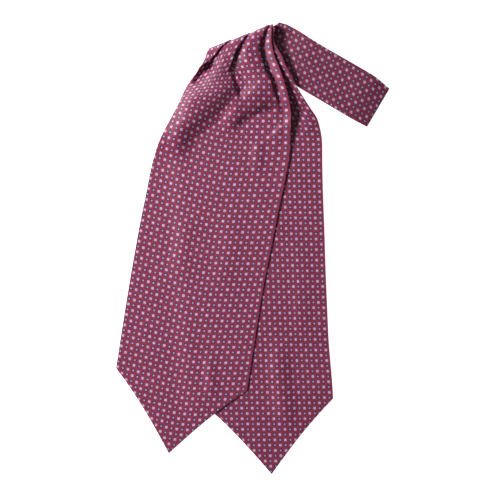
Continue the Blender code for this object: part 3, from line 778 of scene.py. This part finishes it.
def strap_profile(width, steps):
    """Section of the three-fold strap: distance across, and height from its fold."""
    inner = 0.5 * GAP
    side = []
    for k in range(3):
        low = inner + k * PITCH
        for turn in np.linspace(-80.0, 80.0, EDGE_ARC):
            a = math.radians(turn)
            side.append((0.5 * WALL * (1.0 - math.cos(a)), low + 0.5 * WALL * (1.0 + math.sin(a))))
        if k < 2:
            side.append((GROOVE, low + 0.5 * (WALL + PITCH)))
    profile = [(width - inset, h) for inset, h in side]
    fall1, fall2 = STEP_DROP[0] * steps, STEP_DROP[1] * steps
    for v in np.linspace(width - EDGE_INSET, EDGE_INSET, FACE_POINTS):
        drop = (fall1 * smooth((width - STEP_AT[0] - v) / STEP_RUN)
                + (fall2 - fall1) * smooth((width - STEP_AT[1] - v) / STEP_RUN))
        profile.append((v, HALF_STACK - drop))
    top = HALF_STACK - fall2
    base = inner + 2 * PITCH
    for inset, h in reversed(side):
        if h > base:
            h = base + (h - base) * (top - base) / WALL
        profile.append((inset, h))
    for v in np.linspace(EDGE_INSET, width - EDGE_INSET, BASE_POINTS):
        profile.append((v, inner))
    return np.array(profile)


def band_stations():
    """Distance from the end fold and plan points of each section's edges and step."""
    table = np.array(BAND_STATIONS)
    distances = np.arange(table[0, 0], table[-1, 0], STATION_STEP)
    distances = np.append(distances, table[-1, 0])
    stations = []
    for distance in distances:
        upper = np.interp(distance, table[:, 0], table[:, 1])
        lower = np.interp(distance, table[:, 0], table[:, 2])
        middle = BAND_END - ALONG_BAND * distance
        stations.append((distance, middle + ACROSS_BAND * upper,
                         middle + ACROSS_BAND * (upper - STEP_AT[0]),
                         middle + ACROSS_BAND * lower))
    seam = [RIDGE_LEFT + along * ALONG_RIDGE + SEAM_DEPTH * INTO_RIDGE for along in SEAM_ENDS]
    stations.append((table[-1, 0] + SEAM_FURTHER, BAND_MEETS_RIDGE, *seam))
    return stations


def strap_ring(station, steps, angle):
    """One section of the strap: angle 0 on the upper run, 180 on the lower one."""
    _, upper, step, lower = station
    width = min(np.linalg.norm(upper - lower), BAND_WIDTH)
    a = math.radians(angle)
    places = (0.0, width - STEP_AT[0], width)
    profile = strap_profile(width, steps)
    v, r = profile[:, 0], profile[:, 1]
    plan = np.column_stack([np.interp(v, places, (lower[i], step[i], upper[i]))
                            for i in (0, 1)])
    plan = plan + (r * math.sin(a))[:, None] * ALONG_BAND
    pressed = np.interp(station[0], *BAND_PRESSED)
    return np.column_stack([plan, pressed * (HALF_STACK + r * math.cos(a))])


# %% [markdown]
# ## The neckband's map and its mesh
#
# The print runs almost along the band, four degrees off its line, and slightly
# sheared, because the strip is folded a little off the grain. A flat picture of
# the band gives every point its place in the print, and round the edges and the
# end fold that picture simply goes on by the distance travelled on the surface.

# %% Print directions on the band, and its mesh
PRINT_ALONG = math.radians(-35.0)
PRINT_ACROSS = math.radians(-114.0)
BAND_PITCH = 5.86
BAND_UPPER = 24.6
STEPS_FROM, STEPS_FADE = 2.0, 14.0
END_TURN_STEP = 15


def band_cells(flat):
    """Place in the print of points on a flat picture of the band."""
    lattice = BAND_PITCH * np.array([
        [math.cos(PRINT_ALONG), math.cos(PRINT_ACROSS)],
        [math.sin(PRINT_ALONG), math.sin(PRINT_ACROSS)]])
    return flat @ np.linalg.inv(lattice).T + 100.0


def band_piece(name):
    """The neckband: one doubled strap, closed at its two ends."""
    stations = band_stations()
    rings, lengths = [], []
    for station in reversed(stations):
        shown = float(smooth((station[0] - STEPS_FROM) / STEPS_FADE))
        rings.append(strap_ring(station, shown, 0.0))
        lengths.append(-station[0])
    start = lengths[-1]
    for angle in range(END_TURN_STEP, 180, END_TURN_STEP):
        rings.append(strap_ring(stations[0], 0.0, angle))
        lengths.append(start + math.pi * HALF_STACK * angle / 180.0)
    start = start + math.pi * HALF_STACK
    for station in stations:
        rings.append(strap_ring(station, 0.0, 180.0))
        lengths.append(start + station[0] - stations[0][0])
    profile = strap_profile(BAND_WIDTH, 1.0)
    closed = np.vstack([profile, profile[:1]])
    round_it = np.concatenate([[0.0], np.cumsum(np.hypot(*np.diff(closed, axis=0).T))])
    count = len(profile)
    face = 3 * EDGE_ARC + 2
    across = BAND_WIDTH - BAND_UPPER - EDGE_INSET - (round_it - round_it[face])
    rings = np.array(rings)
    faces, cells = [], []
    places = BAND_END + np.array(lengths)[:, None, None] * ALONG_BAND \
        + across[None, :, None] * ACROSS_BAND
    cells_at = band_cells(places)
    for r in range(len(rings) - 1):
        for c in range(count):
            d = (c + 1) % count
            a, b = r * count, (r + 1) * count
            faces.append((a + c, a + d, b + d, b + c))
            cells += [cells_at[r, c], cells_at[r, c + 1], cells_at[r + 1, c + 1],
                      cells_at[r + 1, c]]
    last = (len(rings) - 1) * count
    for ring, cap in ((0, range(count - 1, -1, -1)), (-1, range(count))):
        faces.append(tuple((last if ring else 0) + c for c in cap))
        cells += [cells_at[ring, c] for c in cap]
    print(name, "has", len(faces), "faces")
    return new_piece(name, rings.reshape(-1, 3), faces, cells)


neckband = band_piece("silk_neckband")

# %% [markdown]
# ## The printed silk
#
# Foulard silk has a fine twill weave and a small printed repeat: a chequer of
# pale squares and pale-blue dots with a dark ring on a wine-red ground. A
# picture of the print would blur up close, so a few math nodes draw it from the
# cloth map instead: which cell a point is in, and how far it is from that cell's
# middle.

# %% Node helpers
GROUND = (0.268, 0.033, 0.079)
SQUARE = (0.65, 0.47, 0.67)
RING = (0.072, 0.028, 0.092)
DOT = (0.42, 0.45, 0.73)
SQUARE_HALF = 0.228
RING_RADIUS = 0.37
DOT_RADIUS = 0.16
EDGE_SOFT = 0.05
TWILL_LINES = 9.0


def colour(rgb):
    """A colour with its alpha, as sockets want it."""
    return (*rgb, 1.0)


def math_node(tree, operation, a, b=None):
    """Adds a Math node and returns its output."""
    node = tree.nodes.new("ShaderNodeMath")
    node.operation = operation
    for socket, value in zip(node.inputs, (a, b)):
        if isinstance(value, (int, float)):
            socket.default_value = value
        elif value is not None:
            tree.links.new(value, socket)
    return node.outputs[0]


def inside(tree, distance, limit):
    """1 where the distance is less than the limit, with a soft edge."""
    node = tree.nodes.new("ShaderNodeMapRange")
    node.interpolation_type = "SMOOTHSTEP"
    node.inputs["From Min"].default_value = limit - EDGE_SOFT
    node.inputs["From Max"].default_value = limit + EDGE_SOFT
    node.inputs["To Min"].default_value = 1.0
    node.inputs["To Max"].default_value = 0.0
    tree.links.new(distance, node.inputs["Value"])
    return node.outputs[0]


def mix(tree, share, below, above, blend="MIX"):
    """Mixes two colours, each a socket or a fixed colour, by a share."""
    node = tree.nodes.new("ShaderNodeMix")
    node.data_type = "RGBA"
    node.blend_type = blend
    factor, low, high = node.inputs[0], node.inputs[6], node.inputs[7]
    if isinstance(share, float):
        factor.default_value = share
    else:
        tree.links.new(share, factor)
    for socket, value in ((low, below), (high, above)):
        if isinstance(value, tuple):
            socket.default_value = colour(value)
        else:
            tree.links.new(value, socket)
    return node.outputs[2]


def noise(tree, place, scale, detail):
    """Adds a noise of so many patches a metre and returns its value."""
    node = tree.nodes.new("ShaderNodeTexNoise")
    node.inputs["Scale"].default_value = scale
    node.inputs["Detail"].default_value = detail
    tree.links.new(place, node.inputs["Vector"])
    return node.outputs[0]


def bump(tree, height, strength, depth, normal=None):
    """Adds a bump, on top of another one if there is one, and returns its normal."""
    node = tree.nodes.new("ShaderNodeBump")
    node.inputs["Strength"].default_value = strength
    node.inputs["Distance"].default_value = depth
    tree.links.new(height, node.inputs["Height"])
    if normal is not None:
        tree.links.new(normal, node.inputs["Normal"])
    return node.outputs["Normal"]


print("squares", round(2 * SQUARE_HALF * PRINT_PITCH, 2), "mm wide, rings",
      round(2 * RING_RADIUS * PRINT_PITCH, 2), "mm")

# %% [markdown]
# The squares and dots are not all alike: the print is a little lighter in some
# cells than in others, and the weave and the dye vary softly over the cloth.
# Sheen gives the pale glow of silk at a slant, and a fine bump gives the twill.
# The three pieces differ only in a painted shade: the back blade's colour is a little darker and
# the neckband's much darker, standing in for twill that catches less light where its lines turn
# away from the lamp.

# %% The silk material
ROUND_SQUARE = (0.82, 0.16)
DYE_PATCHES, THREADS = 45.0, 1100.0
DYE_VARIES, THREADS_VARY = (0.86, 1.14), (0.88, 1.1)
FAINTEST_PRINT, RING_STRENGTH = 0.84, 0.9
TWILL_DEPTH, THREAD_DEPTH = 0.06, 0.2


def silk_material(name, painted_shade_tone):
    """Printed foulard silk, its colour darkened by a painted shade: 1 is full brightness."""
    material = bpy.data.materials.new(name)
    material.use_nodes = True
    tree = material.node_tree
    surface = tree.nodes["Principled BSDF"]
    cloth = tree.nodes.new("ShaderNodeUVMap")
    cloth.uv_map = "cloth"
    split = tree.nodes.new("ShaderNodeSeparateXYZ")
    tree.links.new(cloth.outputs["UV"], split.inputs[0])
    u, v = split.outputs[0], split.outputs[1]
    cell_u, cell_v = math_node(tree, "FLOOR", u), math_node(tree, "FLOOR", v)
    from_u = math_node(tree, "SUBTRACT", math_node(tree, "FRACT", u), 0.5)
    from_v = math_node(tree, "SUBTRACT", math_node(tree, "FRACT", v), 0.5)
    odd = math_node(tree, "MODULO", math_node(tree, "ADD", cell_u, cell_v), 2.0)
    even = math_node(tree, "SUBTRACT", 1.0, odd)
    squareness = math_node(tree, "MAXIMUM", math_node(tree, "ABSOLUTE", from_u),
                           math_node(tree, "ABSOLUTE", from_v))
    radius = math_node(tree, "SQRT", math_node(
        tree, "ADD", math_node(tree, "MULTIPLY", from_u, from_u),
        math_node(tree, "MULTIPLY", from_v, from_v)))
    rounded = math_node(tree, "ADD", math_node(tree, "MULTIPLY", squareness, ROUND_SQUARE[0]),
                        math_node(tree, "MULTIPLY", radius, ROUND_SQUARE[1]))
    square = math_node(tree, "MULTIPLY", even, inside(tree, rounded, SQUARE_HALF))
    ring = math_node(tree, "MULTIPLY", odd, inside(tree, radius, RING_RADIUS))
    dot = math_node(tree, "MULTIPLY", odd, inside(tree, radius, DOT_RADIUS))

    place = tree.nodes.new("ShaderNodeTexCoord").outputs["Object"]
    grain = noise(tree, place, THREADS, 2.0)
    ground = mix(tree, noise(tree, place, DYE_PATCHES, 3.0),
                 *(tuple(share * c for c in GROUND) for share in DYE_VARIES))
    cell = tree.nodes.new("ShaderNodeCombineXYZ")
    tree.links.new(cell_u, cell.inputs[0])
    tree.links.new(cell_v, cell.inputs[1])
    chance = tree.nodes.new("ShaderNodeTexWhiteNoise")
    chance.noise_dimensions = "2D"
    tree.links.new(cell.outputs[0], chance.inputs["Vector"])
    strength = math_node(tree, "ADD", FAINTEST_PRINT, math_node(
        tree, "MULTIPLY", chance.outputs["Value"], 1.0 - FAINTEST_PRINT))
    printed = mix(tree, math_node(tree, "MULTIPLY", square, strength), ground, SQUARE)
    printed = mix(tree, math_node(tree, "MULTIPLY", ring, RING_STRENGTH), printed, RING)
    printed = mix(tree, math_node(tree, "MULTIPLY", dot, strength), printed, DOT)
    # The painted shade of each piece darkens the thread colours here.
    shade = mix(tree, grain, *((share * painted_shade_tone,) * 3 for share in THREADS_VARY))
    woven = mix(tree, 1.0, printed, shade, "MULTIPLY")
    tree.links.new(woven, surface.inputs["Base Color"])

    lines = math_node(tree, "SINE", math_node(
        tree, "MULTIPLY", math_node(tree, "ADD", u, v), 2.0 * math.pi * TWILL_LINES))
    twill = bump(tree, lines, 0.35, TWILL_DEPTH * MM)
    tree.links.new(bump(tree, grain, 0.3, THREAD_DEPTH * MM, twill), surface.inputs["Normal"])

    surface.inputs["Roughness"].default_value = 0.48
    surface.inputs["Specular IOR Level"].default_value = 0.3
    surface.inputs["Sheen Weight"].default_value = 0.1
    surface.inputs["Sheen Roughness"].default_value = 0.4
    surface.inputs["Sheen Tint"].default_value = colour((1.0, 0.82, 0.9))
    return material


print("twill lines", round(PRINT_PITCH / TWILL_LINES, 2), "mm apart along the rows")

# %% [markdown]
# ## Soft unevenness, with Geometry Nodes
#
# Silk that was folded and handled never lies quite flat again: it keeps soft
# bumps of a few tenths of a millimetre. Placing them by hand would take hundreds
# of creases, so a node tree lifts every point by a smooth noise. The noise is
# read at the point's place in plan only, so layers that lie on each other rise
# together and don't pass through one another. All three pieces use the same tree
# and the same seed.

# %% The unevenness tree
UNEVENNESS = 0.9
PATCHES_PER_METRE = 34.0
SEED = 4.0


def unevenness_tree():
    """A node group that lifts cloth by a smooth noise and gives it its silk."""
    tree = bpy.data.node_groups.new("Silk unevenness", "GeometryNodeTree")
    for name, kind in (("Geometry", "Geometry"), ("Unevenness", "Float"),
                       ("Patches per metre", "Float"), ("Seed", "Float"), ("Silk", "Material")):
        tree.interface.new_socket(name, in_out="INPUT", socket_type="NodeSocket" + kind)
    tree.interface.new_socket("Geometry", in_out="OUTPUT", socket_type="NodeSocketGeometry")
    given = tree.nodes.new("NodeGroupInput")
    place = tree.nodes.new("GeometryNodeInputPosition")
    plan = tree.nodes.new("ShaderNodeVectorMath")
    plan.operation = "MULTIPLY"
    plan.inputs[1].default_value = (1.0, 1.0, 0.0)
    noise = tree.nodes.new("ShaderNodeTexNoise")
    noise.noise_dimensions = "4D"
    noise.inputs["Detail"].default_value = 1.0
    upward = tree.nodes.new("ShaderNodeCombineXYZ")
    lift = tree.nodes.new("GeometryNodeSetPosition")
    joined = tree.nodes.new("GeometryNodeRealizeInstances")
    silk = tree.nodes.new("GeometryNodeSetMaterial")
    out = tree.nodes.new("NodeGroupOutput")
    tree.links.new(place.outputs[0], plan.inputs[0])
    tree.links.new(plan.outputs[0], noise.inputs["Vector"])
    tree.links.new(given.outputs["Patches per metre"], noise.inputs["Scale"])
    tree.links.new(given.outputs["Seed"], noise.inputs["W"])
    height = math_node(tree, "MULTIPLY", noise.outputs[0], given.outputs["Unevenness"])
    tree.links.new(height, upward.inputs["Z"])
    tree.links.new(given.outputs["Geometry"], lift.inputs["Geometry"])
    tree.links.new(upward.outputs[0], lift.inputs["Offset"])
    tree.links.new(lift.outputs[0], joined.inputs[0])
    tree.links.new(joined.outputs[0], silk.inputs["Geometry"])
    tree.links.new(given.outputs["Silk"], silk.inputs["Material"])
    tree.links.new(silk.outputs[0], out.inputs[0])
    print("unevenness tree:", len(tree.nodes), "nodes")
    return tree


def dress(piece, tree, material):
    """Runs the tree on a piece and keeps its result as the piece's mesh."""
    modifier = piece.modifiers.new("Unevenness", "NODES")
    modifier.node_group = tree
    values = {"Unevenness": UNEVENNESS * MM, "Patches per metre": PATCHES_PER_METRE,
              "Seed": SEED, "Silk": material}
    for socket in tree.interface.items_tree:
        if socket.in_out == "INPUT" and socket.name in values:
            modifier[socket.identifier] = values[socket.name]
    keep_result(piece)
    heights = [vertex.co.z for vertex in piece.data.vertices]
    print(piece.name, "from", round(min(heights) / MM, 2), "to", round(max(heights) / MM, 2), "mm")


# %% Dress the three pieces
front_blade = blades["front_silk_blade"]
back_blade = blades["back_silk_blade"]
uneven = unevenness_tree()
# The last number is a painted shade: it darkens the back blade a little and the neckband more, for
# the light their twill catches less of.
for piece, node, slot, painted_shade_tone in ((front_blade, "front_blade", "front_silk", 1.0),
                                (back_blade, "back_blade", "back_silk", 0.97),
                                (neckband, "neckband", "band_silk", 0.8)):
    dress(piece, uneven, silk_material("printed_" + slot, painted_shade_tone))
    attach(piece, "root")
    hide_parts(node)

# %% [markdown]
# ## The cut of each piece
#
# Cloth has an area that folding can't change. Each blade is a strip 145 mm wide
# with a pointed end, and the neckband is the same strip: what shows of it, all
# round, is its two faces, its edges and its end fold.

# %% [markdown]
# ## Table, light and camera
#
# The cravat lies on a plain white table, which glows a little so that it stays
# white. A soft lamp stands well to the left, a little under forty degrees up, so
# the banks that face right are dark and every fold's edge drops its shadow to the
# right. A weak lamp above and a dim, even sky keep the shadows open. The camera
# looks straight down through a long lens.

# %% Floor
FLOOR_HALF = 3.0
floor_mesh = bpy.data.meshes.new("table_top")
floor_mesh.from_pydata([(-FLOOR_HALF, -FLOOR_HALF, 0), (FLOOR_HALF, -FLOOR_HALF, 0),
                        (FLOOR_HALF, FLOOR_HALF, 0), (-FLOOR_HALF, FLOOR_HALF, 0)],
                       [], [(0, 1, 2, 3)])
floor = bpy.data.objects.new("table_top", floor_mesh)
bpy.context.scene.collection.objects.link(floor)
white = bpy.data.materials.new("white_table")
white.use_nodes = True
paper = white.node_tree.nodes["Principled BSDF"]
paper.inputs["Base Color"].default_value = colour((0.9, 0.9, 0.9))
paper.inputs["Roughness"].default_value = 0.9
paper.inputs["Emission Color"].default_value = colour((1.0, 1.0, 1.0))
paper.inputs["Emission Strength"].default_value = 1.0
floor_mesh.materials.append(white)
print("table top", 2 * FLOOR_HALF, "m square")

# %% Lights
def area_lamp(name, place, size, power):
    """A square lamp aimed at the middle of the cravat."""
    lamp = bpy.data.lights.new(name, "AREA")
    lamp.size = size
    lamp.energy = power
    holder = bpy.data.objects.new(name, lamp)
    holder.location = place
    holder.rotation_euler = (-holder.location).to_track_quat("-Z", "Y").to_euler()
    bpy.context.scene.collection.objects.link(holder)
    print(name, "lamp,", power, "W")


area_lamp("key", (-1.4, 0.55, 1.15), 0.5, 48.0)
area_lamp("fill", (-0.2, 0.2, 2.3), 1.2, 3.6)
world = bpy.data.worlds.new("studio")
world.use_nodes = True
sky = world.node_tree.nodes["Background"]
sky.inputs["Color"].default_value = colour((1.0, 1.0, 1.0))
sky.inputs["Strength"].default_value = 0.06
bpy.context.scene.world = world
bpy.context.scene.view_settings.view_transform = "Standard"

# %% Camera
VIEW_MM = 542.5
CAMERA_HEIGHT = 1.6
VIEW_CENTRE = (-0.00286, -0.00272)
camera_data = bpy.data.cameras.new("camera")
camera_data.sensor_width = 36.0
camera_data.lens = 36.0 * (CAMERA_HEIGHT - 0.004) / (VIEW_MM * MM)
camera = bpy.data.objects.new("camera", camera_data)
camera.location = (*VIEW_CENTRE, CAMERA_HEIGHT)
bpy.context.scene.collection.objects.link(camera)
bpy.context.scene.camera = camera
print("lens", round(camera_data.lens, 1), "mm")
